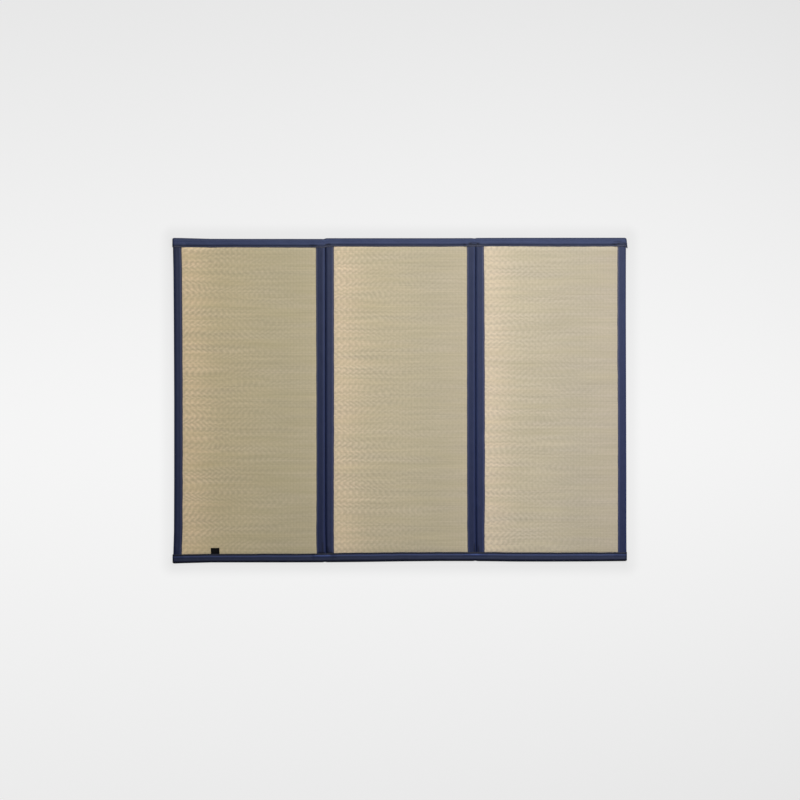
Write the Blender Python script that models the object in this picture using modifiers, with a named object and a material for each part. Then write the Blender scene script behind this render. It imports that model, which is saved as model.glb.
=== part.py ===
"""Tri-fold tatami mat, lying open on a flat surface.

Three rush-faced slabs lie side by side. Cloth tape is folded round each long side of each slab, and
one tape at the head and one at the foot cross all three, over the ends of the long tapes. Metres,
+X along the mat, +Y towards its head, +Z up. The origin is under the mat's middle.
"""

import math
from collections import namedtuple

import bmesh
import bpy
from mathutils import Matrix

# Heights and thicknesses
TAPE = 0.0012
GAP = 0.0003
STEP = TAPE + GAP
RUSH_TOP = 0.0230
RUSH_SWELL = 0.0010
BINDING_TOP = RUSH_TOP + STEP
BINDING_CROWN = 0.0008

# Rounded edges of the slabs and of the tape round them
EDGE_RADIUS = 0.0090
TAPE_RADIUS = EDGE_RADIUS + STEP
EDGE_STEPS = 3
CROWN_STEPS = 3
SHARP_EDGE = math.radians(60)
SMOOTH_BELOW = math.radians(40)

# From head to foot: the mat's width, and the shares of it at which the faces have a row of points
MAT_WIDTH = 1.4140
FIELD_ROWS = (0.10, 0.25, 0.50, 0.75, 0.90)
# The same across one panel
FIELD_COLUMNS = (0.25, 0.50, 0.75)

# Beside a binding's sewn edge, what lies under it steps down over this width
CLEAR_OF_BINDING = 0.0010
RAMP = 0.0060
LONG_BINDING_START = TAPE_RADIUS + 0.0005

# The end bindings sag into the folds and are drawn in there, and close round the corners
FOLD_REACH = 0.0090
FOLD_SAG = 0.0020
FOLD_NOTCH = 0.0022
FOLD_SHARES = (0.25, 0.50, 0.75)
CORNER_RADIUS = 0.0060

# The four long lines of the mat: x at shares of the way from head to foot
LongLine = namedtuple("LongLine", "name head tenth quarter half three_quarters nine_tenths foot")
LONG_SHARES = (0.0, 0.10, 0.25, 0.50, 0.75, 0.90, 1.0)
LONG_LINES = (
    LongLine("left edge", -0.9935, -0.9904, -0.9887, -0.9871, -0.9871, -0.9880, -0.9924),
    LongLine("fold 1", -0.3234, -0.3234, -0.3234, -0.3234, -0.3232, -0.3226, -0.3200),
    LongLine("fold 2", 0.3334, 0.3334, 0.3334, 0.3336, 0.3340, 0.3350, 0.3372),
    LongLine("right edge", 0.9898, 0.9894, 0.9894, 0.9905, 0.9916, 0.9916, 0.9924),
)
FOLDS = (1, 2)

# The ends of the three panels: y at shares of the way from a panel's left side to its right
EndLine = namedtuple("EndLine", "name left eighth quarter two_thirds right")
END_SHARES = (0.0, 0.12, 0.25, 0.65, 1.0)
HEAD_LINES = (
    EndLine("left", 0.7119, 0.7106, 0.7078, 0.7075, 0.7071),
    EndLine("middle", 0.7105, 0.7105, 0.7105, 0.7105, 0.7108),
    EndLine("right", 0.7115, 0.7120, 0.7122, 0.7123, 0.7124),
)
FOOT_LINES = (
    EndLine("left", -0.7122, -0.7097, -0.7075, -0.7075, -0.7069),
    EndLine("middle", -0.7067, -0.7061, -0.7053, -0.7018, -0.7015),
    EndLine("right", -0.7018, -0.7025, -0.7037, -0.7036, -0.7016),
)

# The long bindings: the panel, the way in from the side it lies on, and its width on the face
LongBinding = namedtuple("LongBinding", "name panel inward head_width foot_width")
LONG_BINDINGS = (
    LongBinding("binding_left_outer", 0, 1, 0.0378, 0.0374),
    LongBinding("binding_left_fold", 0, -1, 0.0420, 0.0418),
    LongBinding("binding_middle_left", 1, 1, 0.0340, 0.0342),
    LongBinding("binding_middle_right", 1, -1, 0.0376, 0.0372),
    LongBinding("binding_right_fold", 2, 1, 0.0341, 0.0344),
    LongBinding("binding_right_outer", 2, -1, 0.0338, 0.0358),
)

# The end bindings: width on the face at each panel's left and right, and how far each end hangs over
EndBinding = namedtuple("EndBinding", "name lines down inward widths left_tip right_tip")
HEAD_WIDTHS = ((0.0396, 0.0366), (0.0356, 0.0345), (0.0350, 0.0366))
FOOT_WIDTHS = ((0.0400, 0.0405), (0.0410, 0.0396), (0.0396, 0.0378))
HEAD_BINDING = EndBinding("binding_head", HEAD_LINES, 0.0, -1, HEAD_WIDTHS, 0.0000, 0.0030)
FOOT_BINDING = EndBinding("binding_foot", FOOT_LINES, 1.0, 1, FOOT_WIDTHS, 0.0002, 0.0004)
WIDEST_END_BINDING = 0.0412

# A line of points on a panel: where it is, if it lies under a binding, and if it is on the swell
Line = namedtuple("Line", "share under swell")
# A section of an end binding: sag is 1 in a fold, and turn is the angle round a corner
Section = namedtuple("Section", "x y width lift sag turn")

# Label at the left panel's foot
LABEL_SIZE = (0.0376, 0.0225, 0.0010)
LABEL_PANEL = 0
LABEL_X = -0.8065
LABEL_TILT = math.radians(1.2)
LABEL_LIFT = 0.0004

# Colours as linear red, green and blue
RUSH_COLOUR = (0.485, 0.413, 0.275)
CLOTH_COLOUR = (0.034, 0.042, 0.089)
LABEL_COLOUR = (0.008, 0.008, 0.012)


def clear_scene():
    for item in list(bpy.data.objects):
        bpy.data.objects.remove(item, do_unlink=True)


def make_material(name, colour, roughness):
    material = bpy.data.materials.new(name)
    material.use_nodes = True
    shader = material.node_tree.nodes["Principled BSDF"]
    shader.inputs["Base Color"].default_value = (*colour, 1.0)
    shader.inputs["Roughness"].default_value = roughness
    shader.inputs["Metallic"].default_value = 0.0
    return material


def mix(first, second, share):
    return first + (second - first) * share


def smooth_value(shares, values, at):
    """Value at one share on a smooth curve through the given ones."""
    last = len(shares) - 1
    slopes = []
    for k in range(last + 1):
        before, after = max(k - 1, 0), min(k + 1, last)
        slopes.append((values[after] - values[before]) / (shares[after] - shares[before]))
    k = max(j for j in range(last) if at >= shares[j] or j == 0)
    span = shares[k + 1] - shares[k]
    t = (at - shares[k]) / span
    start = (1 + 2 * t) * (1 - t) ** 2 * values[k] + t * (1 - t) ** 2 * span * slopes[k]
    end = t * t * (3 - 2 * t) * values[k + 1] + t * t * (t - 1) * span * slopes[k + 1]
    return start + end


def long_x(line, down):
    """X of one of the four long lines, at a share of the way from head to foot."""
    return smooth_value(LONG_SHARES, LONG_LINES[line][1:], down)


def side_x(panel, inward, down):
    """X of the outer face of the binding on a panel's left (1) or right (-1) side."""
    line = panel if inward == 1 else panel + 1
    half_gap = GAP / 2 if line in FOLDS else 0.0
    return long_x(line, down) + inward * half_gap


def end_y(lines, panel, across):
    """Y of the outer face of an end binding, at a share of the way across one panel."""
    return smooth_value(END_SHARES, lines[panel][1:], across)


def row_y(panel, across, down):
    """Y of a row of points, at shares of the way across a panel and from head to foot."""
    return mix(end_y(HEAD_LINES, panel, across), end_y(FOOT_LINES, panel, across), down)


def panel_rows():
    """Rows of points of a panel, from head to foot."""
    step_start = (WIDEST_END_BINDING + CLEAR_OF_BINDING) / MAT_WIDTH
    step_end = step_start + RAMP / MAT_WIDTH
    head = [Line(0.0, 1, 0), Line(step_start, 1, 0), Line(step_end, 0, 0)]
    field = [Line(down, 0, 1) for down in FIELD_ROWS]
    foot = [line._replace(share=1 - line.share) for line in reversed(head)]
    return head + field + foot


def panel_columns(panel, down):
    """Columns of points of a panel, from its left to its right, at one row."""
    left, right = LONG_BINDINGS[2 * panel], LONG_BINDINGS[2 * panel + 1]
    width = side_x(panel, -1, down) - side_x(panel, 1, down)
    left_end = (mix(left.head_width, left.foot_width, down) + CLEAR_OF_BINDING) / width
    right_end = (mix(right.head_width, right.foot_width, down) + CLEAR_OF_BINDING) / width
    ramp = RAMP / width
    columns = [Line(0.0, 1, 0), Line(left_end, 1, 0), Line(left_end + ramp, 0, 0)]
    columns += [Line(across, 0, 1) for across in FIELD_COLUMNS]
    columns += [Line(1 - right_end - ramp, 0, 0), Line(1 - right_end, 1, 0), Line(1.0, 1, 0)]
    return columns


def grid_faces(columns, rows, place, flipped):
    """Open sheet of faces whose point in each column and row is given by place(column, row)."""
    grid = bmesh.new()
    bmesh.ops.create_grid(grid, x_segments=columns - 1, y_segments=rows - 1, size=1.0)
    grid.verts.ensure_lookup_table()
    for vertex in grid.verts:
        vertex.co = place(vertex.index % columns, vertex.index // columns)
    if flipped:
        bmesh.ops.reverse_faces(grid, faces=grid.faces)
    return grid


def add_object(name, faces, material, collection, parent):
    """Makes an object of a bmesh, smooth but for its sharp edges."""
    mesh = bpy.data.meshes.new(name)
    faces.to_mesh(mesh)
    faces.free()
    mesh.materials.append(material)
    mesh.shade_smooth()
    mesh.set_sharp_from_angle(angle=SMOOTH_BELOW)
    item = bpy.data.objects.new(name, mesh)
    collection.objects.link(item)
    item.parent = parent
    return item


def make_panel(panel, material, collection, parent):
    """Filled slab, thinner underneath where the bindings are folded round it."""
    rows = panel_rows()
    columns_at = [panel_columns(panel, row.share) for row in rows]
    columns = len(columns_at[0])

    def underside(column, row):
        down, line = rows[row].share, columns_at[row][column]
        left, right = side_x(panel, 1, down) + STEP, side_x(panel, -1, down) - STEP
        inset = {0: -STEP, len(rows) - 1: STEP}.get(row, 0.0)
        y = row_y(panel, line.share, down) + inset
        return mix(left, right, line.share), y, STEP * (rows[row].under + line.under)

    slab = grid_faces(columns, len(rows), underside, True)
    number = slab.verts.layers.int.new("number")
    for vertex in slab.verts:
        vertex[number] = vertex.index
    raised = bmesh.ops.extrude_face_region(slab, geom=list(slab.faces), use_keep_orig=True)
    for vertex in raised["geom"]:
        if isinstance(vertex, bmesh.types.BMVert):
            column, row = vertex[number] % columns, vertex[number] // columns
            swell = rows[row].swell * columns_at[row][column].swell
            vertex.co.z = RUSH_TOP + RUSH_SWELL * swell
    bmesh.ops.recalc_face_normals(slab, faces=slab.faces)
    item = add_object(f"rush_panel_{HEAD_LINES[panel].name}", slab, material, collection, parent)
    rounding = item.modifiers.new("rounded edges", "BEVEL")
    rounding.width = EDGE_RADIUS
    rounding.segments = EDGE_STEPS
    rounding.limit_method = "ANGLE"
    rounding.angle_limit = SHARP_EDGE
    rounding.use_clamp_overlap = False


def tape_section(width, top, bottom, crown):
    """Outer line of a folded tape, from its upper sewn edge round to the lower one.

    Each point is a distance in from the mat's edge and a height.
    """
    radius = min(TAPE_RADIUS, (top - bottom) / 2)
    points = []
    for step in range(CROWN_STEPS):
        share = step / CROWN_STEPS
        points.append((mix(width, radius, share), top + crown * math.sin(math.pi * share)))
    for start, centre in ((0.0, top - radius), (math.pi / 2, bottom + radius)):
        for step in range(EDGE_STEPS + 1):
            angle = start + math.pi / 2 * step / EDGE_STEPS
            points.append((radius - radius * math.sin(angle), centre + radius * math.cos(angle)))
    points.append((width, bottom))
    return points


def make_tape(binding, sections, place, material, collection, parent):
    """Cloth tape: a sheet through its sections, thickened inwards."""

    def point(column, row):
        return place(row, *sections[row][column])

    sheet = grid_faces(len(sections[0]), len(sections), point, binding.inward == -1)
    item = add_object(binding.name, sheet, material, collection, parent)
    cloth = item.modifiers.new("cloth", "SOLIDIFY")
    cloth.thickness = TAPE
    cloth.offset = -1.0
    cloth.use_even_offset = True


def make_long_binding(binding, material, collection, parent):
    """Tape round one long side of one panel; its ends go under the end bindings."""
    across = 0.0 if binding.inward == 1 else 1.0
    start = LONG_BINDING_START / MAT_WIDTH
    rows = panel_rows()
    rows[0] = rows[0]._replace(share=start)
    rows[-1] = rows[-1]._replace(share=1 - start)
    sections = []
    for row in rows:
        width = mix(binding.head_width, binding.foot_width, row.share)
        crown = BINDING_CROWN * (1 - row.under)
        sections.append(tape_section(width, BINDING_TOP, STEP * row.under, crown))

    def place(row, inward, height):
        down = rows[row].share
        x = side_x(binding.panel, binding.inward, down) + binding.inward * inward
        return x, row_y(binding.panel, across, down), height

    make_tape(binding, sections, place, material, collection, parent)


def end_sections(binding):
    """Sections of an end binding, from the mat's left to its right."""
    result = []
    for panel in range(len(binding.lines)):
        left = side_x(panel, 1, binding.down) + STEP
        right = side_x(panel, -1, binding.down) - STEP
        columns = panel_columns(panel, binding.down)
        fold_share = (FOLD_REACH - STEP) / (right - left)
        if panel in FOLDS:
            columns[0] = columns[0]._replace(share=fold_share)
        if panel + 1 in FOLDS:
            columns[-1] = columns[-1]._replace(share=1 - fold_share)
        for line in columns:
            x = mix(left, right, line.share)
            y = end_y(binding.lines, panel, line.share)
            width = mix(*binding.widths[panel], line.share)
            result.append(Section(x, y, width, STEP * line.under, 0.0, 0.0))
    return with_corners(with_folds(result, binding.down), binding)


def with_folds(sections, down):
    """Adds the sections at which an end binding sags into each fold."""
    result = list(sections)
    for line in FOLDS:
        fold = long_x(line, down)
        left = max((s for s in sections if s.x < fold), key=lambda s: s.x)
        right = min((s for s in sections if s.x > fold), key=lambda s: s.x)
        for share in FOLD_SHARES:
            between = Section(*(mix(a, b, share) for a, b in zip(left, right)))
            result.append(between._replace(sag=math.sin(math.pi * share) ** 2))
    return sorted(result, key=lambda s: s.x)


def with_corners(sections, binding):
    """Replaces the first and last section with ends that close round the mat's corners."""
    left, right = sections[0], sections[-1]
    left_tip = left.x - 2 * STEP - binding.left_tip
    right_tip = right.x + 2 * STEP + binding.right_tip
    turns = [math.pi / 2 * step / EDGE_STEPS for step in range(EDGE_STEPS + 1)]
    rounding = [(turn, TAPE_RADIUS * (1 - math.sin(turn))) for turn in turns]
    left_end = [left._replace(x=left_tip + inward, turn=turn) for turn, inward in rounding]
    right_end = [right._replace(x=right_tip - inward, turn=turn) for turn, inward in rounding]
    return left_end[::-1] + sections[1:-1] + right_end


def make_end_binding(binding, material, collection, parent):
    """Tape across all three panels, over the long bindings' ends.

    At a corner its section closes towards mid-height.
    """
    rows = end_sections(binding)
    sections = []
    for row in rows:
        closing = TAPE_RADIUS * (1 - math.cos(row.turn))
        top = BINDING_TOP + row.lift - FOLD_SAG * row.sag - closing
        crown = BINDING_CROWN * math.cos(row.turn)
        sections.append(tape_section(row.width, top, closing, crown))

    def place(number, inward, height):
        row = rows[number]
        drawn_in = FOLD_NOTCH * row.sag + CORNER_RADIUS * (1 - math.cos(row.turn))
        shift = inward + drawn_in * (1 - inward / row.width)
        return row.x, row.y + binding.inward * shift, height

    make_tape(binding, sections, place, material, collection, parent)


def make_label(material, collection, parent):
    """Bare cloth label on the rush, sewn in at the foot binding's edge."""
    left, right = side_x(LABEL_PANEL, 1, 1.0), side_x(LABEL_PANEL, -1, 1.0)
    across = (LABEL_X - left) / (right - left)
    width = mix(*FOOT_WIDTHS[LABEL_PANEL], across)
    tilt_room = LABEL_SIZE[0] * math.sin(LABEL_TILT)
    edge = end_y(FOOT_LINES, LABEL_PANEL, across) + width + GAP + tilt_room
    cloth = bmesh.new()
    bmesh.ops.create_cube(cloth, size=1.0, matrix=Matrix.Diagonal((*LABEL_SIZE, 1.0)))
    item = add_object("sewn_label", cloth, material, collection, parent)
    height = RUSH_TOP + LABEL_LIFT + LABEL_SIZE[2] / 2
    item.location = (LABEL_X, edge + LABEL_SIZE[1] / 2, height)
    item.rotation_euler = (0.0, 0.0, LABEL_TILT)


def main():
    clear_scene()
    collection = bpy.data.collections.new("tatami_mat")
    bpy.context.scene.collection.children.link(collection)
    base = bpy.data.objects.new("mat_base", None)
    collection.objects.link(base)
    rush = make_material("rush", RUSH_COLOUR, 0.75)
    cloth = make_material("binding_cloth", CLOTH_COLOUR, 0.85)
    label = make_material("label_cloth", LABEL_COLOUR, 0.80)
    for panel in range(len(HEAD_LINES)):
        make_panel(panel, rush, collection, base)
    for binding in LONG_BINDINGS:
        make_long_binding(binding, cloth, collection, base)
    for binding in (HEAD_BINDING, FOOT_BINDING):
        make_end_binding(binding, cloth, collection, base)
    make_label(label, collection, base)


main()
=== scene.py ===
"""Looks of the tri-fold tatami mat: woven rush, sewn navy tape, a bare label and the slabs under them.

Metres, in the frame's own axes: +X along the mat, +Y towards its head, +Z up. The tapes follow the
lines of the bindings in the frame, and the rush fills what the tapes leave open.
"""

import math
from collections import namedtuple

import bpy
import numpy as np
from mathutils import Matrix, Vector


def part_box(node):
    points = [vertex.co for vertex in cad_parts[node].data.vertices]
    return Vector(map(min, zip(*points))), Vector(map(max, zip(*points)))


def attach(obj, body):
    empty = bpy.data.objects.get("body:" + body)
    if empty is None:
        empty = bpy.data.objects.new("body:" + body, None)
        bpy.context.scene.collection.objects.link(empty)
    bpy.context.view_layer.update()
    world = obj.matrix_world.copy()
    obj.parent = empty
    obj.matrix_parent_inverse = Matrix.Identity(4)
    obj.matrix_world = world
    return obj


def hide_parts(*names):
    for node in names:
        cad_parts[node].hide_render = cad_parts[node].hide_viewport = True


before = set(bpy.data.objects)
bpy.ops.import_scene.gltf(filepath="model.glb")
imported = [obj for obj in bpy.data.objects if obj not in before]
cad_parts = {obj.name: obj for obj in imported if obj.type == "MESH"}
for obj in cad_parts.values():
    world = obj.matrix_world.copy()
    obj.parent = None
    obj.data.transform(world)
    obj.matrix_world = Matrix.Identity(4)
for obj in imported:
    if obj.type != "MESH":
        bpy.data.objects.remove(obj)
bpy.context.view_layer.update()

LONG_TAPES = (
    "binding_left_outer",
    "binding_left_fold",
    "binding_middle_left",
    "binding_middle_right",
    "binding_right_fold",
    "binding_right_outer",
)
HEAD_TAPE, FOOT_TAPE = "binding_head", "binding_foot"
END_TAPES = (HEAD_TAPE, FOOT_TAPE)
TAPES = LONG_TAPES + END_TAPES
PANELS = ("left", "middle", "right")

# The tapes' cloth, and heights of the long tapes' faces and of the rush. Less than SLIGHT is level.
CLOTH = 0.0012
GAP = 0.0003
CROWN = 0.0007
FULLNESS = 2.5
SLIGHT = 0.0001
tape_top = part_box(LONG_TAPES[0])[1].z - CROWN
rush_top = tape_top - CLOTH - GAP

# Edges of a mesh that turn by more than this stay sharp
SHARP_ANGLE = math.radians(60)

# Rows and points of a tape's surface: steps along it, and shares of the way across it
ROW_STEP = 0.0045
LINE_STEP = 0.0250
LONG_END = 0.001
FINE_ROWS = 0.0014
FINE_REACH = 0.040
FINE_SHARE = 0.6
CORNER_STEPS = 9
FACE_POINTS = 10
END_FACE_POINTS = 17
FACE_SPREAD = 0.94
EDGE_POINTS = 4
UNDER_SHARES = (0.01, 0.05, 0.13, 0.30, 0.65)
INSIDE_SHARES = (0.50, 0.10, 0.0)

# How square the mat's edges are under the tapes, as powers. Those at the folds flare and close.
ROUNDNESS = 4.2
END_ROUNDNESS = 4.0
FOLD_ROUNDNESS = 6.5
FLARE_ROUNDNESS = 2.4
HEAD_ROUNDNESS = 14.0
FLARE = 0.030
HEAD_CLOSE = 0.022

# Across a tape's hem: distance in from the sewn edge, and height against the face
HemPoint = namedtuple("HemPoint", "inside lift")
HEM = (
    HemPoint(0.0000, -0.00290),
    HemPoint(0.0002, -0.00235),
    HemPoint(0.0008, -0.00190),
    HemPoint(0.0018, -0.00175),
    HemPoint(0.0032, -0.00185),
    HemPoint(0.0045, -0.00225),
    HemPoint(0.0054, -0.00265),
    HemPoint(0.0063, -0.00215),
    HemPoint(0.0076, -0.00150),
    HemPoint(0.0091, -0.00098),
    HemPoint(0.0107, -0.00058),
    HemPoint(0.0124, -0.00030),
    HemPoint(0.0142, -0.00013),
    HemPoint(0.0160, -0.00004),
    HemPoint(0.0180, 0.00000),
)
BELLY_POINT, SEAM_POINT = 3, 6
END_HEM_WIDER = 1.25
PRESSED_HEM = 0.00190
UNDER_HEM = (
    HemPoint(0.0054, 0.0000),
    HemPoint(0.0046, -0.0008),
    HemPoint(0.0034, 0.0000),
    HemPoint(0.0003, -0.0003),
    HemPoint(0.0000, -0.0008),
)
CUT_EDGE = 0.0004
TURNED_IN = 0.0032

# How uneven the sewing is: waves along a tape between two lengths, and over its face
PUCKER = 0.00022
PUCKER_REACH = 0.0070
PUCKER_WAVES = (0.012, 0.028)
PUCKER_SLANT = 0.3
SEWING_WANDER = 0.00030
WANDER_WAVES = (0.060, 0.300)
FACE_WAVE = 0.00025
FACE_WAVE_LENGTH = 0.040

# Where the end tapes climb over the long ones, and how the folds and sewn edges stand off the frame's
RISE_WEIGHTS = (1, 3, 4, 3, 1)
STEP_START = 0.0018
STEP_END = 0.0003
FOLD_SHIFT = -0.0013
OUTER_SHIFTS = ((-0.322, 0.008), (0.330, 0.0065))
SHIFT_REACH = 0.03
OUTER_TRIM = {"binding_head": 0.0007, "binding_foot": -0.0005, "binding_right_outer": 0.0005}

# Ends of the end tapes, which close round the mat's corners. The head's right one leans and droops.
CORNER = 0.0105
CORNER_CLOSING = 0.90
CORNER_DRAW = 0.0060
FOLD_SHUT = 0.95
END_LEAN = 0.0046
LEAN_CENTRE = 0.4
LEAN_START, LEAN_RUN = 0.030, 0.025
END_DROOP = 0.0065
DROOP_FROM = 0.6
DROOP_START, DROOP_RUN = 0.008, 0.006

# How much wider each tape lies than its binding in the frame, at places along it
Trim = namedtuple("Trim", "place wider")
TRIMS = {
    "binding_left_outer": (Trim(0.0, 0.0011),),
    "binding_left_fold": (
        Trim(-0.55, 0.0006),
        Trim(-0.40, -0.0009),
        Trim(0.0, -0.0008),
        Trim(0.65, 0.0017),
    ),
    "binding_middle_left": (
        Trim(-0.64, -0.0002),
        Trim(-0.30, 0.0015),
        Trim(0.0, 0.0024),
        Trim(0.65, 0.0019),
    ),
    "binding_middle_right": (Trim(0.0, 0.0022), Trim(0.50, 0.0022), Trim(0.65, 0.0026)),
    "binding_right_fold": (
        Trim(-0.64, 0.0007),
        Trim(-0.40, 0.0044),
        Trim(0.13, 0.0045),
        Trim(0.52, 0.0030),
        Trim(0.65, 0.0012),
    ),
    "binding_right_outer": (Trim(-0.64, 0.0026), Trim(0.0, 0.0022), Trim(0.13, 0.0036)),
    "binding_head": (
        Trim(-0.93, 0.0006),
        Trim(-0.74, -0.0012),
        Trim(-0.43, 0.0010),
        Trim(-0.24, 0.0016),
        Trim(0.14, 0.0026),
        Trim(0.44, 0.0018),
        Trim(0.70, 0.0031),
        Trim(0.93, 0.0020),
    ),
    "binding_foot": (
        Trim(-0.93, -0.0010),
        Trim(-0.79, -0.0026),
        Trim(-0.56, -0.0020),
        Trim(-0.36, -0.0017),
        Trim(-0.24, 0.0005),
        Trim(0.26, -0.0003),
        Trim(0.44, 0.0014),
        Trim(0.84, 0.0018),
        Trim(0.93, 0.0016),
    ),
}

# Creases of the tapes: soft ridges, and troughs where the lift is below zero. Troughs get painted shade
# and ridges painted highlights.
Crease = namedtuple("Crease", "x0 y0 x1 y1 lift reach")
CREASES = {
    "binding_head": (
        Crease(-0.3247, 0.6818, -0.3028, 0.6844, -0.00110, 0.0026),
        Crease(-0.3947, 0.6791, -0.3641, 0.6791, -0.00095, 0.0022),
        Crease(-0.3509, 0.6748, -0.3159, 0.6748, 0.00025, 0.0020),
        Crease(-0.3378, 0.7032, -0.3247, 0.6966, 0.00035, 0.0030),
        Crease(-0.3006, 0.6791, -0.2962, 0.6726, 0.00025, 0.0022),
        Crease(0.2792, 0.6835, 0.2923, 0.6835, -0.00070, 0.0024),
        Crease(0.3032, 0.6866, 0.3470, 0.6866, -0.00150, 0.0040),
        Crease(0.3229, 0.7041, 0.3273, 0.6966, 0.00035, 0.0026),
        Crease(0.3142, 0.6748, 0.3360, 0.6730, 0.00030, 0.0022),
        Crease(0.9268, 0.6826, 0.9530, 0.6853, -0.00095, 0.0024),
        Crease(0.9530, 0.6870, 0.9880, 0.6883, -0.00150, 0.0028),
        Crease(0.9574, 0.6783, 0.9880, 0.6783, 0.00040, 0.0020),
        Crease(0.9640, 0.6735, 0.9858, 0.6735, -0.00120, 0.0020),
        Crease(0.9355, 0.6940, 0.9705, 0.6966, -0.00050, 0.0022),
        Crease(0.9705, 0.7010, 0.9880, 0.7010, 0.00030, 0.0018),
    ),
    "binding_foot": (
        Crease(-0.3772, -0.6778, -0.3028, -0.6769, 0.00100, 0.0028),
        Crease(-0.3378, -0.6729, -0.3072, -0.6721, 0.00090, 0.0028),
        Crease(-0.3728, -0.6673, -0.2897, -0.6673, -0.00130, 0.0024),
        Crease(-0.3466, -0.6843, -0.3028, -0.6834, 0.00030, 0.0032),
        Crease(-0.3028, -0.6904, -0.2897, -0.6904, -0.00040, 0.0022),
        Crease(-0.2897, -0.6817, -0.2722, -0.6926, -0.00040, 0.0022),
        Crease(0.2792, -0.6716, 0.3710, -0.6712, 0.00060, 0.0032),
        Crease(0.3142, -0.6729, 0.3492, -0.6729, 0.00045, 0.0030),
        Crease(0.2967, -0.6624, 0.3667, -0.6624, -0.00050, 0.0022),
    ),
    "binding_left_fold": (
        Crease(-0.3378, -0.6204, -0.3365, -0.6664, -0.00070, 0.0030),
        Crease(-0.3597, -0.6668, -0.3247, -0.6668, -0.00120, 0.0030),
    ),
    "binding_middle_left": (
        Crease(-0.3151, -0.6379, -0.3138, -0.6664, -0.00070, 0.0030),
        Crease(-0.3203, -0.6659, -0.2897, -0.6659, -0.00090, 0.0030),
    ),
    "binding_middle_right": (Crease(0.3273, -0.6248, 0.3273, -0.6664, -0.00080, 0.0030),),
    "binding_right_fold": (Crease(0.3439, -0.6336, 0.3439, -0.6664, -0.00070, 0.0030),),
}
CREASE_FADE = 0.6
# How much the crease lift paints highlights on ridges and shade in troughs
RIDGE_PAINTED_HIGHLIGHT = 900.0
TROUGH_PAINTED_SHADE = 1100.0

# Stitches
STITCH_PITCH = 0.0037
STITCH_LENGTH = 0.0029
STITCH_WIDTH = 0.00055
STITCH_LIFT = 0.00022

# Waves that add up to unevenness: how many, the sum that counts as 1, and how their lengths spread
LINE_WAVES, LINE_SUM = 8, 2.8
AREA_WAVES, AREA_SUM = 12, 3.5
SHORTEST_WAVE, WAVE_SPREAD = 0.7, 0.8

# Seeds of what is left to chance: tapes are this far apart, and panels one after another
TAPE_SEEDS = 10
STALK_SEED, FACE_SEED, DRIFT_SEED = 100, 110, 120
LABEL_SEED = 7

# Slow unevenness of a face: its height or drift, the length of its waves, and where it fades at an edge
Swell = namedtuple("Swell", "amount length fade")

# Rush: columns between the warps, rows of stalks, and the weave's relief
COLUMN = 0.0129
ROW = 0.00133
FLOAT_RISE = 0.00042
FLOAT_FALL = 0.00015
WARP_DIP = 0.00012
STALK_UNEVEN = 0.00005
RELIEF_FADE = 0.002
RUSH_UNDER_TAPE = 0.0045
RUSH_THICK = 0.0022
RUSH_SWELL = 0.0010
SWELL_WIDTH = 0.0300
SEAM_DIP = 0.0016
SEAM_DIP_WIDTH = 0.0050
FACE_SWELL = Swell(0.0002, 0.180, 0.03)
WEAVE_DRIFT = Swell(0.0011, 0.220, 0.05)
DRIFT_STRETCH = 0.35
DRIFT_SIDEWAYS = 0.4

# The label: its size, the points of its face, and how its edges roll and its free end curls up
LABEL_WIDTH = 0.0376
LABEL_TUCK = 0.0008
LABEL_TILT = math.radians(1.2)
LABEL_COLUMNS, LABEL_ROWS = 36, 30
LABEL_THICK = 0.0004
LABEL_PUFF = 0.0003
PUFF_FADE = 0.005
LABEL_SINK = 0.0002
SINK_FADE = 0.004
LABEL_SWELL = Swell(0.00020, 0.018, 0.006)
ROLL_HEIGHT = 0.00035
ROLL_INSIDE = 0.0010
ROLL_WIDTH = 0.0007
CURL = 0.0009
CURL_FROM = 0.55
SIDE_CURL = 0.0006

# The slabs: points round them and up their edges, and their steps inside and outside the hems' edges
CORNER_ROUNDING = 0.012
LEAST_ROUNDING = 0.002
CORNER_POINTS = 4
SLAB_SIDE_POINTS = 36
SLAB_END_POINTS = 18
EDGE_SHARES = (0.50, 0.25, 0.13, 0.06, 0.02, 0.0)
BACKING_INSIDE = (0.0040, 0.0010)
STEP_OUTSIDE = (0.0120, 0.0080)
STEP_SUNK = 0.0013

# Fibres, patches and weaves of the finishes, in metres, and how much they shade a colour
Fibres = namedtuple("Fibres", "length width amount")
Patches = namedtuple("Patches", "size amount")
# A weave's gap and thread tones are painted shade in its gaps and painted light on its threads
Weave = namedtuple("Weave", "pitch slub gap_tone thread_tone")
RUSH_FIBRES = Fibres(0.05, 0.0004, 0.10)
RUSH_STREAKS = Fibres(0.25, 0.0050, 0.13)
RUSH_CLUMPS = Fibres(0.40, 0.022, 0.09)
RUSH_FLECKS = Fibres(0.007, 0.004, 0.05)
RUSH_PATCHES = Patches(0.25, 0.05)
TAPE_SLUBS = Fibres(0.012, 0.0006, 0.16)
TAPE_PATCHES = Patches(0.07, 0.10)
TAPE_WEAVE = Weave(0.00055, 0.35, 0.72, 1.08)
THREAD_TWIST = Fibres(0.0008, 0.0008, 0.25)
LABEL_PATCHES = Patches(0.01, 0.12)
LABEL_WEAVE = Weave(0.00030, 0.2, 0.7, 1.1)
BACKING_SLUBS = Fibres(0.02, 0.0009, 0.12)
BACKING_PATCHES = Patches(0.12, 0.08)
BACKING_WEAVE = Weave(0.0009, 0.5, 0.8, 1.05)

# Plain weave: wavers in a metre, the part of a turn that is gap, and how high threads and slubs stand
WAVERS = 90.0
GAP_SHARE = 0.45
OVER_UNDER = 0.5
SLUB_BUMP = 0.5

# A value's way from a start to an end, and the low and high that it is brought to
Ramp = namedtuple("Ramp", "start end low high")

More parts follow.
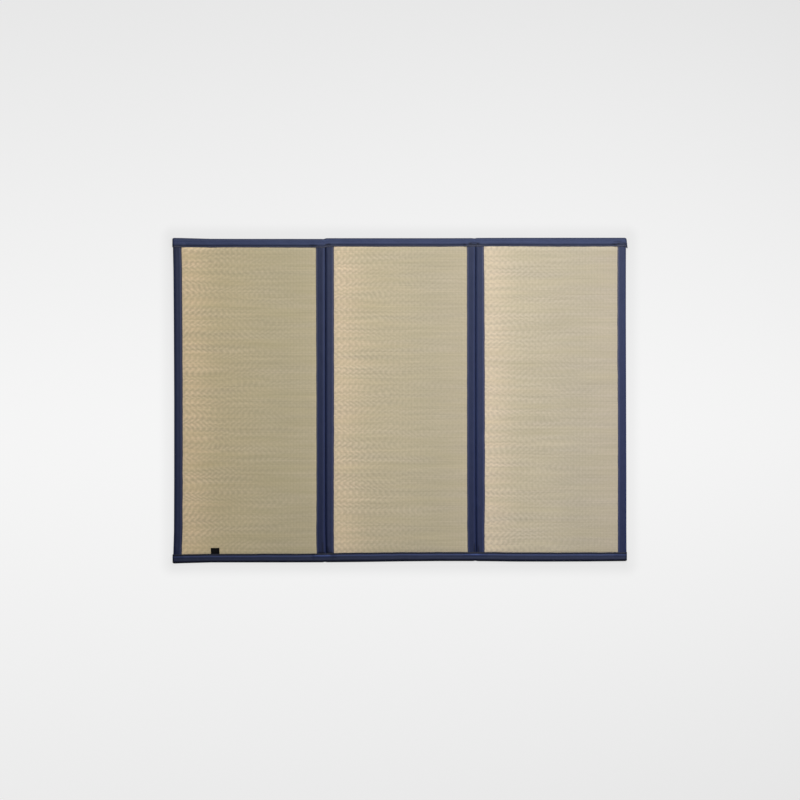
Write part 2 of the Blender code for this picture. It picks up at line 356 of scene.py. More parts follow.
# The rush's colours from the root end, on the left, to the tip, and what makes stalks differ
ROOT_RUSH = (0.663, 0.530, 0.366)
PALE_RUSH = (0.528, 0.447, 0.299)
TIP_RUSH = (0.466, 0.405, 0.271)
PALE_AT, TIP_AT = 0.26, 0.70
STALK_LENGTHS = 0.10
BAND_LENGTHS = 0.40
STALK_TONES = (0.96, 1.04)
# Painted shade in the weave's grooves, between the stalks and at the warps
PAINTED_SHADE_BETWEEN_STALKS = Ramp(0.0, 0.5, 0.80, 1.0)
PAINTED_SHADE_AT_WARPS = Ramp(0.0, 0.30, 0.88, 1.0)
STALK_BUMP = 0.35

# The rush's noises: patches in a metre along the stalks and across them, a layer of their own, and detail
Noise = namedtuple("Noise", "along across layer detail")
COLOUR_BANDS = Noise(2.0, 34.0, 0.0, 3.0)
TONE_BANDS = Noise(3.0, 26.0, 8.0, 1.0)
ZIGZAG_DRIFT = Noise(6.0, 16.0, 0.0, 1.0)
ZIGZAG_JOLT = Noise(7.0, 48.0, 9.0, 1.0)
ZIGZAG_SLIP = Noise(5.0, 65.0, 5.0, 1.0)
ZIGZAG_SLANT = Noise(5.0, 38.0, 3.0, 1.0)

# The zigzag in the rush, painted highlights and shade of its floats: lengths of one turn, how far noise
# turns it in radians, and its strength
ZIGZAG_TURN = (0.0256, 0.0246)
DRIFT_TURNS, JOLT_TURNS, SLIP_TURNS = 15.0, 4.0, 5.0
SLANT_SPREAD = Ramp(0.41, 0.59, 0.22, 0.78)
ZIGZAG_DASHES = 1.20
ZIGZAG_ROWS = 0.54
ROWS_AHEAD = 1.2
ZIGZAG_SPREAD = Ramp(0.34, 0.64, 0.55, 1.25)
ZIGZAG_END = 1.02
ZIGZAG_MORE = 0.076
ZIGZAG_LEAST = 0.016
ZIGZAG_RIGHTWARD = -0.17
ZIGZAG_MIDDLE = 0.93

# How the rush's painted light and its colour change over the mat, to the right unless a name says
# otherwise. The first three ramps paint it lighter beside the head tape, at the mat's left end and towards
# the foot's right corner.
PAINTED_LIGHT_BY_HEAD = Ramp(0.646, 0.668, 1.0, 1.060)
PAINTED_LIGHT_BY_LEFT = Ramp(-0.94, -0.82, 1.035, 1.0)
PAINTED_LIGHT_BY_CORNER = Ramp(0.75, 1.45, 1.0, 1.045)
BLUER = 0.112
LESS_RED = 0.024
REDDER_ACROSS = 0.024
REDDER_TO_RIGHT = 0.040
BLUE_BANDS = (0.16, 0.92)

# Painted light and shade across the tapes: distance from the seam in millimetres, and tone. Higher tones
# paint highlights, on the hems and on slopes that face the lights, and lower ones paint shade, in the seams
# and on edges that turn away from the lights.
Tone = namedtuple("Tone", "distance tone")
LONG_PAINTED_LIGHT = (
    Tone(-6.0, 2.30),
    Tone(0.5, 2.30),
    Tone(2.5, 1.90),
    Tone(6.0, 1.05),
    Tone(24.0, 1.05),
    Tone(31.0, 1.60),
)
HEAD_PAINTED_LIGHT = (
    Tone(-7.0, 1.60),
    Tone(-3.0, 1.60),
    Tone(-1.0, 0.62),
    Tone(1.4, 0.62),
    Tone(4.0, 1.22),
    Tone(8.0, 1.45),
    Tone(12.0, 1.82),
    Tone(21.0, 1.82),
    Tone(27.0, 1.25),
)
FOOT_PAINTED_LIGHT = (
    Tone(-7.0, 1.02),
    Tone(-3.0, 0.90),
    Tone(-1.2, 0.48),
    Tone(1.0, 0.50),
    Tone(2.8, 2.40),
    Tone(5.5, 2.25),
    Tone(9.0, 1.08),
    Tone(15.0, 1.00),
    Tone(21.0, 0.85),
    Tone(27.0, 0.55),
    Tone(39.0, 0.55),
    Tone(45.0, 1.05),
)

# Colours of the cloths and the thread, a greyer navy at the tapes' hems, and painted light and sheen that
# make the tapes lighter, redder and less blue towards the head
NAVY = (0.0163, 0.0235, 0.0650)
GREYER_HEM_NAVY = (0.0245, 0.0263, 0.0455)
GREYER_HEM_OVER = 0.0025
THREAD_NAVY = (0.022, 0.028, 0.066)
LABEL_BLACK = (0.0025, 0.0025, 0.0034)
BACKING = (0.34, 0.30, 0.23)
PAINTED_LIGHT_TO_HEAD = 0.40
PAINTED_SHEEN_REDDER = 0.10
PAINTED_SHEEN_LESS_BLUE = 0.25

# The floor: its grey, what it throws back on the mat, and its glow to the camera, dimmer by the mat
FLOOR_GREY = 0.08
FLOOR_BOUNCE = 0.32
FLOOR_SIZE = 60.0
FLOOR_BELOW = 0.0002
GLOW_MIDDLE = -0.12
GLOW_ROUNDING = 0.04
GLOW_MOST, GLOW_LEAST = 0.930, 0.60
GLOW_FALL = -0.057
LIT_TO_HEAD, LIT_TO_RIGHT = 0.137, 0.187
MAT_HALF = (0.992, 0.713)
SHADE_START, SHADE_REACH = 0.010, 0.072
SHADE_DEPTH = 0.085
# Under the mat, inside this half size, the floor has no glow, so the gaps at the folds show painted shade
FOLDS_HALF = (0.60, 0.69)

# Camera and light
VIEW_WIDTH = 3.5006
VIEW_CENTRE = (0.0013, 0.0031)
VIEW_PLANE = 0.0125
CAMERA_HEIGHT = 16.0
SENSOR = 36.0
FARTHEST = 100.0
Light = namedtuple("Light", "name place size power")
LIGHTS = (
    Light("main_light", (1.1, 0.72, 2.9), 1.4, 84.0),
    Light("far_light", (0.5, 9.0, 6.0), 3.0, 590.0),
)
AMBIENT = 0.045

# Lines of one tape in the frame: places along it, and at each its outer face, sewn edge, top and crown
TapeLines = namedtuple("TapeLines", "along inward at outer sewn top crown")


def smooth_through(stations, values, at):
    """Values at many places on a smooth curve through the values at some stations."""
    gaps = np.diff(stations)
    rises = np.diff(values) / gaps
    inner = (rises[1:] * gaps[:-1] + rises[:-1] * gaps[1:]) / (gaps[:-1] + gaps[1:])
    slopes = np.concatenate((rises[:1], inner, rises[-1:]))
    k = np.clip(np.searchsorted(stations, at, side="right") - 1, 0, len(gaps) - 1)
    t = np.clip((at - stations[k]) / gaps[k], 0.0, 1.0)
    start = (1 + 2 * t) * (1 - t) ** 2 * values[k] + t * (1 - t) ** 2 * gaps[k] * slopes[k]
    end = t * t * (3 - 2 * t) * values[k + 1] + t * t * (t - 1) * gaps[k] * slopes[k + 1]
    return start + end


def uneven(places, seed, waves):
    """Smooth unevenness along a line: waves between two lengths, about 1 high in all."""
    draw = np.random.default_rng(seed)
    lengths = waves[0] * (waves[1] / waves[0]) ** draw.random(LINE_WAVES)
    phases = 2 * math.pi * draw.random(LINE_WAVES)
    return sum(np.sin(2 * math.pi * places / a + b) for a, b in zip(lengths, phases)) / LINE_SUM


def uneven_face(x, y, seed, length):
    """Smooth unevenness over a face: waves of about one length, each in its own direction."""
    draw = np.random.default_rng(seed)
    total = np.zeros(np.broadcast(x, y).shape)
    for turn, phase, stretch in draw.random((AREA_WAVES, 3)):
        pitch = 2 * math.pi / (length * (SHORTEST_WAVE + WAVE_SPREAD * stretch))
        direction = math.pi * turn
        along = x * math.cos(direction) + y * math.sin(direction)
        total += np.sin(pitch * along + 2 * math.pi * phase)
    return total / AREA_SUM


def smooth_step(value):
    """0 up to 0, 1 from 1 on, and a smooth rise between."""
    t = np.clip(value, 0.0, 1.0)
    return t * t * (3 - 2 * t)


def cut_across(name, along, at):
    """Cuts a binding of the frame across its length: its two sides and its top at each place."""
    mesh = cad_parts[name].data
    points = np.array([vertex.co for vertex in mesh.vertices])
    edges = points[np.array([edge.vertices for edge in mesh.edges])]
    low_ends, high_ends = edges[:, 0, along], edges[:, 1, along]
    found = []
    for place in at:
        crossing = (low_ends - place) * (high_ends - place) < 0
        first, second = edges[crossing, 0], edges[crossing, 1]
        share = (place - first[:, along]) / (second[:, along] - first[:, along])
        cut = first + share[:, None] * (second - first)
        across = cut[:, 1 - along]
        found.append((across.min(), across.max(), cut[:, 2].max()))
    return np.array(found).T


def widened_and_smoothed(values):
    """Spreads the high stretches of a line a little to both sides, and rounds its steps off."""
    spread = len(RISE_WEIGHTS) // 2
    padded = np.pad(values, 2 * spread, mode="edge")
    size = len(padded) - 2 * spread
    highest = np.max([padded[k:k + size] for k in range(2 * spread + 1)], axis=0)
    return np.convolve(highest, np.array(RISE_WEIGHTS) / sum(RISE_WEIGHTS), mode="valid")


def read_tape(name):
    """Reads a tape's lines from its binding in the frame."""
    is_long = name in LONG_TAPES
    along = 1 if is_long else 0
    low, high = (corner[along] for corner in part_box(name))
    ends = LONG_END if is_long else CORNER
    step = LINE_STEP if is_long else ROW_STEP
    at = np.linspace(low + ends, high - ends, round((high - low) / step))
    low_side, high_side, tops = cut_across(name, along, at)
    if is_long:
        inward = 1 if LONG_TAPES.index(name) % 2 == 0 else -1
        crown = tops - tops.min()
    else:
        inward = 1 if name == FOOT_TAPE else -1
        crown = np.full(len(at), CROWN)
        tops = widened_and_smoothed(tops)
    outer, sewn = (low_side, high_side) if inward == 1 else (high_side, low_side)
    if is_long and "outer" not in name:
        outer = outer + FOLD_SHIFT
    if not is_long:
        for place, shift in OUTER_SHIFTS:
            outer = np.interp(at + shift * np.exp(-((at - place) / SHIFT_REACH) ** 2), at, outer)
    outer = outer + OUTER_TRIM.get(name, 0.0)
    trims = np.array(TRIMS[name])
    sewn = sewn + inward * np.interp(at, trims[:, 0], trims[:, 1])
    return TapeLines(along, inward, at, outer, sewn, tops - crown, crown)


def tapes_round(panel, tapes):
    """Lines of the four tapes round one panel: left, right, head and foot."""
    return [tapes[name] for name in LONG_TAPES[2 * panel:2 * panel + 2] + END_TAPES]


def tape_outline(share, roundness=ROUNDNESS):
    """Height of a padded edge, as a share of its half height, at a share of the way in from the edge."""
    return np.sqrt(1 - (1 - share) ** roundness)


def face_shares(count):
    """Places across a tape's face, as shares of the way in from its outer edge, closest near that edge."""
    return 1 - np.cos(math.pi / 2 * np.linspace(FACE_SPREAD, 0.0, count))


def tape_section(width, top, bottom, crown, press, closing, roundness, face, hem):
    """Closed section of a tape at each of its rows: distances in from the mat's edge, and heights.

    It runs over the face, round the mat's edge, under the mat, and back inside the fold. Where press
    is 1, the sewing presses the hem into the rush. Where closing is 1, the hem lies level and the fold
    is shut.
    """
    columns = (width, top, bottom, crown, press, closing)
    width, top, bottom, crown, press, closing = (value[:, None] for value in columns)
    under_hem = np.array(UNDER_HEM)
    reach = width - hem[-1, 0]
    middle, half = (top + bottom) / 2, (top - bottom) / 2
    under, inside = np.array(UNDER_SHARES), np.array(INSIDE_SHARES)
    swell = half + crown * np.sin(math.pi * face)
    open_share = 1 - FOLD_SHUT * closing
    hollow = (half - CLOTH) * open_share
    back = np.concatenate((inside, inside[-2::-1]))
    side = np.concatenate((-np.ones(len(inside)), np.ones(len(inside) - 1)))
    side[len(inside) - 1] = 0
    hem_lift = hem[:, 1] + PRESSED_HEM * (1 - press) * (hem[:, 1] < -SLIGHT)
    hem_lift = np.minimum(hem_lift, 0.0) * (1 - closing)
    belly = hem_lift[:, BELLY_POINT:BELLY_POINT + 1]
    inner_end = middle + (top + belly - CLOTH - middle) * open_share
    lower_end = middle + (bottom + CLOTH - middle) * open_share
    ins = np.hstack((
        width - hem[:, 0],
        reach * face,
        reach * under,
        width - under_hem[:, 0],
        width - CUT_EDGE,
        CLOTH + (reach - CLOTH) * back,
        width - TURNED_IN,
        width - CUT_EDGE,
    ))
    heights = np.hstack((
        top + hem_lift,
        middle + swell * tape_outline(face, roundness),
        middle - half * tape_outline(under, ROUNDNESS),
        bottom - under_hem[:, 1],
        lower_end,
        middle + side * hollow * tape_outline(back),
        inner_end,
        inner_end,
    ))
    return ins, heights


def mesh_object(name, points, faces, material, places=None):
    """Makes a smooth mesh; places are cloth coordinates, in metres, for each point."""
    mesh = bpy.data.meshes.new(name)
    mesh.from_pydata(points.tolist(), [], faces)
    mesh.materials.append(material)
    mesh.shade_smooth()
    mesh.set_sharp_from_angle(angle=SHARP_ANGLE)
    if places is not None:
        corners = np.empty(len(mesh.loops), np.int32)
        mesh.loops.foreach_get("vertex_index", corners)
        layer = mesh.uv_layers.new(name="cloth")
        layer.uv.foreach_set("vector", places[corners].astype(np.float32).ravel())
    item = bpy.data.objects.new(name, mesh)
    bpy.context.scene.collection.objects.link(item)
    return item


def grid_quads(rows, columns, closed):
    """Faces of a grid of points, joined round from the last column to the first if it is closed."""
    index = np.arange(rows * columns).reshape(rows, columns)
    if closed:
        index = np.hstack((index, index[:, :1]))
    quads = np.stack((index[:-1, :-1], index[:-1, 1:], index[1:, 1:], index[1:, :-1]), axis=-1)
    return quads.reshape(-1, 4)


def rim_of(index):
    """Outermost points of a grid, in order round it."""
    return np.concatenate((index[0, :-1], index[:-1, -1], index[-1, :0:-1], index[:0:-1, 0]))


def fine_near_folds(low, high):
    """Places of an end tape's rows: close together at the folds, and further apart between them."""
    at = [low]
    while at[-1] < high:
        near = min(abs(at[-1] - place) for place, _ in OUTER_SHIFTS + ((high, 0.0),))
        coarse = float(smooth_step(near / FINE_REACH - FINE_SHARE))
        at.append(at[-1] + FINE_ROWS + (ROW_STEP - FINE_ROWS) * coarse)
    at = np.array(at)
    return low + (at - low) * (high - low) / (at[-1] - low)


def end_tape_rows(low, high):
    """Places of an end tape's rows, and how far it has closed round the mat's corner at each."""
    turns = np.linspace(0, math.pi / 2, CORNER_STEPS + 1)[:-1]
    rounding = CORNER * (1 - np.cos(turns))
    between = fine_near_folds(low + CORNER, high - CORNER)
    at = np.concatenate((low + rounding, between, high - rounding[::-1]))
    away = np.minimum(at - low, high - at)
    return at, 1 - np.sqrt(1 - (1 - np.clip(away / CORNER, 0, 1)) ** 2)


def long_tape_rows(lines, tapes, low, high):
    """Places of a long tape's rows, and the height of its underside, which steps over the end tapes."""
    middle_x = (lines.outer.mean() + lines.sewn.mean()) / 2
    head, foot = (np.interp(middle_x, tapes[end].at, tapes[end].sewn) for end in END_TAPES)
    at = np.linspace(low, high, round((high - low) / ROW_STEP) + 1)
    steps = (foot + STEP_END, foot + STEP_START, head - STEP_START, head - STEP_END)
    at = np.sort(np.concatenate((at, steps)))
    open_by = np.minimum(at - foot, head - at)
    return at, (CLOTH + GAP) * smooth_step((STEP_START - open_by) / (STEP_START - STEP_END))


def tape_roundness(name, at, low, high):
    """How square the padded edge under a tape is: at a fold, less at the foot and more at the head."""
    if name in END_TAPES:
        return END_ROUNDNESS
    if "outer" in name:
        return ROUNDNESS
    flare = np.exp(-(((at - low) / FLARE) ** 2))[:, None]
    closed = np.exp(-(((high - at) / HEAD_CLOSE) ** 2))[:, None]
    roundness = FOLD_ROUNDNESS + (FLARE_ROUNDNESS - FOLD_ROUNDNESS) * flare
    return roundness + (HEAD_ROUNDNESS - FOLD_ROUNDNESS) * closed


def crease_lift(name, x, y):
    """How far the creases of a tape raise or lower it at each point."""
    lift = np.zeros(x.shape)
    for crease in CREASES.get(name, ()):
        run_x, run_y = crease.x1 - crease.x0, crease.y1 - crease.y0
        length = math.hypot(run_x, run_y)
        share = np.clip(((x - crease.x0) * run_x + (y - crease.y0) * run_y) / length ** 2, 0.0, 1.0)
        away = np.hypot(x - crease.x0 - share * run_x, y - crease.y0 - share * run_y)
        fade = 1 - CREASE_FADE * (2 * share - 1) ** 4
        lift += crease.lift * fade * np.exp(-((away / crease.reach) ** 2))
    return lift


def sewn_unevenness(x, y, along, from_seam, seed):
    """Pucker beside a tape's seam, and slow waves over the rest of its face."""
    near_seam = np.exp(-((from_seam / PUCKER_REACH) ** 2))
    pucker = PUCKER * uneven(along + PUCKER_SLANT * from_seam, seed + 1, PUCKER_WAVES) * near_seam
    wave = FACE_WAVE * uneven_face(x, y, seed + 2, FACE_WAVE_LENGTH) * (1 - near_seam)
    return pucker + wave


def lean_right_end(x, y, share, high):
    """Leans the head tape's right end outwards and lets its hem droop, at a share of the way in."""
    droop = smooth_step((x - high + DROOP_START) / DROOP_RUN)
    y = y - END_DROOP * droop * smooth_step((share - DROOP_FROM) / (1 - DROOP_FROM))
    x = x + END_LEAN * (share - LEAN_CENTRE) * smooth_step((x - high + LEAN_START) / LEAN_RUN)
    return x, y


def cloth_places(points, along):
    """Cloth coordinates of a tape's points: along it, and round its section from the seam."""
    steps = np.linalg.norm(np.diff(points, axis=1), axis=2)
    round_section = np.hstack((np.zeros((len(points), 1)), np.cumsum(steps, axis=1)))
    round_section = round_section - round_section[:, SEAM_POINT:SEAM_POINT + 1]
    return np.stack((along, round_section), axis=-1).reshape(-1, 2)


def sleeve_faces(rows, columns, flip):
    """Faces of a closed sleeve with a cap at each end, turned outwards by a flip if need be."""
    quads = grid_quads(rows, columns, True)
    first, last = list(range(columns)), list(range((rows - 1) * columns, rows * columns))
    if flip:
        return quads[:, ::-1].tolist() + [first, last[::-1]]
    return quads.tolist() + [first[::-1], last]


def make_tape(name, tapes, material):
    """A tape folded round an edge of the mat, hemmed and sewn through on both sides."""
    lines = tapes[name]
    is_end = name in END_TAPES
    low, high = (corner[lines.along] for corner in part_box(name))
    if is_end:
        at, closing = end_tape_rows(low, high)
        bottom = np.zeros(len(at))
    else:
        at, bottom = long_tape_rows(lines, tapes, low, high)
        closing = np.zeros(len(at))
    outer, sewn, top, crown = (
        smooth_through(lines.at, values, at)
        for values in (lines.outer, lines.sewn, lines.top, lines.crown)
    )
    seed = TAPE_SEEDS * TAPES.index(name)
    width = np.abs(sewn - outer) + SEWING_WANDER * uneven(at, seed, WANDER_WAVES)
    press = 1 - smooth_step((top - top.min()) / (CLOTH + GAP)) if is_end else np.ones(len(at))
    press = np.where(top < tape_top - SLIGHT, 0.0, press)
    crown = FULLNESS * crown * (1 - closing)
    squeeze = (top - bottom) / 2 * CORNER_CLOSING * closing
    low_top, high_bottom = top - squeeze, bottom + squeeze
    roundness = tape_roundness(name, at, low, high)
    face = face_shares(END_FACE_POINTS if is_end else FACE_POINTS)
    hem = np.array(HEM) * ((END_HEM_WIDER if is_end else 1.0), 1.0)
    ins, heights = tape_section(width, low_top, high_bottom, crown, press, closing, roundness, face, hem)
    share = ins / width[:, None]
    across = outer[:, None] + lines.inward * (ins + CORNER_DRAW * closing[:, None] * (1 - share))
    along = np.repeat(at[:, None], ins.shape[1], axis=1)
    x, y = (along, across) if is_end else (across, along)
    on_face = np.arange(ins.shape[1]) < len(HEM) + len(face) - EDGE_POINTS
    from_seam = width[:, None] - ins - hem[SEAM_POINT, 0]
    crease = np.where(on_face, crease_lift(name, x, y), 0.0)
    heights = heights + crease + np.where(on_face, sewn_unevenness(x, y, along, from_seam, seed), 0.0)
    if name == HEAD_TAPE:
        x, y = lean_right_end(x, y, share, high)
    points = np.stack((x, y, heights), axis=-1)
    faces = sleeve_faces(*ins.shape, (lines.inward == 1) != is_end)
    places = cloth_places(points, along)
    tape = mesh_object(name + "_tape", points.reshape(-1, 3), faces, material, places)
    lifts = tape.data.attributes.new("crease", "FLOAT", "POINT")
    lifts.data.foreach_set("value", crease.astype(np.float32).ravel())
    under_seam = len(HEM) + len(face) + len(UNDER_SHARES) + 1
    return tape, points[:, SEAM_POINT], points[:, under_seam]


def stitch_shape():
    """Points and faces of one short, plump, pointed bar: two tips, and a ring near each."""
    half, side = STITCH_LENGTH / 2, STITCH_WIDTH / 2
    around = ((side, 0), (0, side), (-side, 0), (0, -side))
    points = [(-half, 0, -side)]
    points += [(end, y, z) for end in (-half / 2, half / 2) for y, z in around]
    points.append((half, 0, -side))
    ring = np.arange(4)
    following = (ring + 1) % 4
    faces = [(0, 1 + b, 1 + a) for a, b in zip(ring, following)]
    faces += [(9, 5 + a, 5 + b) for a, b in zip(ring, following)]
    faces += [(1 + a, 1 + b, 5 + b, 5 + a) for a, b in zip(ring, following)]
    return np.array(points), faces


def make_stitches(name, seams, material):
    """Every stitch of a tape in one mesh, at an even pitch on its seam lines."""
    shape, shape_faces = stitch_shape()
    points, faces = [], []
    for line, up in seams:
        gaps = np.linalg.norm(np.diff(line, axis=0), axis=1)
        length = np.concatenate(([0.0], np.cumsum(gaps)))
        middles = np.arange(STITCH_PITCH, length[-1] - STITCH_PITCH, STITCH_PITCH)
        centre, ahead = (
            np.stack([np.interp(places, length, line[:, k]) for k in range(3)], axis=1)
            for places in (middles, middles + STITCH_LENGTH / 2)
        )
        direction = ahead - centre
        direction /= np.linalg.norm(direction, axis=1)[:, None]
        upward = np.array((0.0, 0.0, up))
        sideways = np.cross(upward, direction)
        frames = np.stack((direction, sideways, np.broadcast_to(upward, direction.shape)), axis=1)
        centre = centre + upward * STITCH_LIFT
        start = sum(len(block) for block in points)
        block = centre[:, None, :] + np.einsum("pk,nkc->npc", shape, frames)
        points.append(block.reshape(-1, 3))
        offsets = start + len(shape) * np.arange(len(middles))
        for face in shape_faces:
            faces += (offsets[:, None] + np.array(face)[None, :]).tolist()
    return mesh_object(name + "_stitches", np.concatenate(points), faces, material)


def field_box(panel, tapes):
    """Lowest and highest corner of the open field between the sewn edges round one panel."""
    left, right, head, foot = tapes_round(panel, tapes)
    here = (head.at > left.sewn.min()) & (head.at < right.sewn.max())
    there = (foot.at > left.sewn.min()) & (foot.at < right.sewn.max())
    low = np.array((left.sewn.min(), foot.sewn[there].min()))
    high = np.array((right.sewn.max(), head.sewn[here].max()))
    return low, high


def rush_face(beyond):
    """Height of the rush, without its weave, at a distance from the sewn edges round it."""
    dip = SEAM_DIP * np.exp(-beyond / SEAM_DIP_WIDTH)
    return rush_top + RUSH_SWELL * (1 - np.exp(-beyond / SWELL_WIDTH)) - dip


def weave_relief(columns, rows, panel):
    """Heights of the weave: floats over and under by turns, warps between them, and uneven stalks."""
    column, row = np.meshgrid(columns, rows)
    on_float = column % 2 == 1
    above = (column // 2 + row) % 2 == 0
    relief = np.where(on_float, np.where(above, FLOAT_RISE, -FLOAT_FALL), -WARP_DIP)
    draw = np.random.default_rng(STALK_SEED + panel)
    relief = relief + STALK_UNEVEN * draw.normal(size=(len(rows), 1))
    return relief + STALK_UNEVEN * draw.normal(size=relief.shape)


def make_facing(panel, tapes, material):
    """Woven rush over one panel: stalks from left to right, bound by warps from head to foot."""
    low, high = field_box(panel, tapes)
    pitch = (COLUMN / 2, ROW)
    first = np.floor((low - RUSH_UNDER_TAPE) / pitch).astype(int)
    last = np.ceil((high + RUSH_UNDER_TAPE) / pitch).astype(int)
    columns, rows = (np.arange(first[k], last[k] + 1) for k in range(2))
    u, v = np.meshgrid(columns * pitch[0], rows * pitch[1])
    left, right, head, foot = tapes_round(panel, tapes)
    beside = np.minimum(u - np.interp(v, left.at, left.sewn), np.interp(v, right.at, right.sewn) - u)
    between = np.minimum(v - np.interp(u, foot.at, foot.sewn), np.interp(u, head.at, head.sewn) - v)
    inside = np.minimum(beside, between)
    relief = weave_relief(columns, rows, panel) * smooth_step(1 + inside / RELIEF_FADE)
    top = rush_face(np.maximum(inside, 0.0)) + relief
    slow = uneven_face(u, v, FACE_SEED + panel, FACE_SWELL.length)
    top = top + FACE_SWELL.amount * slow * smooth_step(inside / FACE_SWELL.fade)
    slow = uneven_face(u * DRIFT_STRETCH, v, DRIFT_SEED + panel, WEAVE_DRIFT.length)
    drift = WEAVE_DRIFT.amount * slow * smooth_step(inside / WEAVE_DRIFT.fade)
    points = np.stack((u + DRIFT_SIDEWAYS * drift, v + drift, top), axis=-1).reshape(-1, 3)
    rim = rim_of(np.arange(u.size).reshape(u.shape))
    below = points[rim].copy()
    below[:, 2] = rush_top - RUSH_THICK
    lower = u.size + np.arange(len(rim))
    walls = np.stack((rim, np.roll(rim, -1), np.roll(lower, -1), lower), axis=-1)[:, ::-1]
    faces = grid_quads(len(rows), len(columns), False).tolist() + walls.tolist()
    faces.append(lower[::-1].tolist())
    places = np.stack((u, v), axis=-1).reshape(-1, 2)
    places = np.concatenate((places, places[rim]))
    points = np.concatenate((points, below))
    return mesh_object(f"rush_facing_{PANELS[panel]}", points, faces, material, places)


def rounded_outline(half_x, half_y, corner):
    """Points round a rectangle with rounded corners about the origin, from its foot side's left end."""
    quarter = np.linspace(0, math.pi / 2, CORNER_POINTS + 2)[1:-1]
    arc = [(math.sin(t), math.cos(t)) for t in quarter]
    straight_x, straight_y = half_x - corner, half_y - corner
    half_way = [(straight_x * t, -half_y) for t in np.linspace(-1, 1, SLAB_END_POINTS)]
    half_way += [(straight_x + corner * s, -straight_y - corner * c) for s, c in arc]
    half_way += [(half_x, straight_y * t) for t in np.linspace(-1, 1, SLAB_SIDE_POINTS)]
    half_way += [(straight_x + corner * c, straight_y + corner * s) for s, c in arc]
    half_way = np.array(half_way)
    return np.concatenate((half_way, -half_way))


def slab_ring(panel, tapes, insets, height):
    """Outline of one panel, drawn in from the tapes' outer faces: left, right, foot and head."""
    left, right, head, foot = tapes_round(panel, tapes)
    middle_x = (left.outer.mean() + right.outer.mean()) / 2
    half_x = (right.outer.mean() - left.outer.mean()) / 2
    half_y = (head.outer.mean() - foot.outer.mean()) / 2
    corner = max(CORNER_ROUNDING - min(insets) / 2, LEAST_ROUNDING)
    outline = rounded_outline(half_x, half_y, corner)
    across, up = (outline[:, 0] / half_x + 1) / 2, (outline[:, 1] / half_y + 1) / 2
    x_guess, y_guess = middle_x + outline[:, 0], outline[:, 1]
    left_x = smooth_through(left.at, left.outer, y_guess) + insets[0]
    right_x = smooth_through(right.at, right.outer, y_guess) - insets[1]
    foot_y = smooth_through(foot.at, foot.outer, x_guess) + insets[2]
    head_y = smooth_through(head.at, head.outer, x_guess) - insets[3]
    x = left_x + (right_x - left_x) * across
    y = foot_y + (head_y - foot_y) * up
    return np.stack((x, y, np.full(len(x), height)), axis=-1)


def make_slab(panel, tapes, material):
    """The firm slab under one rush facing, with its plain backing cloth."""
    left, right, head, foot = tapes_round(panel, tapes)
    middle_x = (left.outer.mean() + right.outer.mean()) / 2
    widths = [np.abs(side.sewn - side.outer).mean() for side in (left, right)]
    widths += [np.abs(np.interp(middle_x, end.at, end.sewn - end.outer)) for end in (foot, head)]
    widths = np.array(widths)
    wall = CLOTH + GAP
    middle, half = (rush_top + wall) / 2, (rush_top - wall) / 2
    depth = min(widths) - wall
    rings = [(widths + BACKING_INSIDE[0], 0.0), (widths + BACKING_INSIDE[1], wall)]
    rings += [([wall + depth * s] * 4, middle - half * float(tape_outline(s))) for s in EDGE_SHARES]
    rings += [([wall + depth * s] * 4, middle + half * float(tape_outline(s))) for s in EDGE_SHARES[-2::-1]]
    rings.append((widths - STEP_OUTSIDE[0], rush_top - STEP_SUNK))
    rings.append((widths - STEP_OUTSIDE[1], rush_top - RUSH_THICK - SLIGHT))
    points = np.stack([slab_ring(panel, tapes, *ring) for ring in rings])
    count, around = points.shape[:2]
    faces = grid_quads(count, around, True).tolist()
    ring = np.arange(around)
    following = np.roll(ring, -1)
    below, above = np.full(around, count * around), np.full(around, count * around + 1)
    last = (count - 1) * around
    faces += np.stack((following, ring, below), axis=-1).tolist()
    faces += np.stack((last + ring, last + following, above), axis=-1).tolist()
    points = np.concatenate((points.reshape(-1, 3), points[[0, -1]].mean(axis=1)))
    return mesh_object(f"slab_{PANELS[panel]}", points, faces, material)


def label_heights(u, v, size_x, size_y, beyond):
    """Heights of the label's underside and face, at shares of its size and distances past the hem."""
    free = smooth_step(beyond / LABEL_SWELL.fade)
    edge = np.minimum((0.5 - np.abs(u)) * size_x, (1 - v) * size_y)
    rolled = ROLL_HEIGHT * np.exp(-((edge - ROLL_INSIDE) / ROLL_WIDTH) ** 2) * free
    soft = uneven_face(u * size_x, v * size_y, LABEL_SEED, LABEL_SWELL.length)
    soft = LABEL_SWELL.amount * soft * free
    curled = CURL * smooth_step((v - CURL_FROM) / (1 - CURL_FROM))
    curled = curled + SIDE_CURL * (2 * u) ** 4 * smooth_step(v)
    sunk = LABEL_SINK * (1 - smooth_step(beyond / SINK_FADE))
    under = rush_face(beyond) + FLOAT_RISE - sunk + soft + curled
    return under, under + LABEL_THICK + LABEL_PUFF * smooth_step(beyond / PUFF_FADE) + rolled


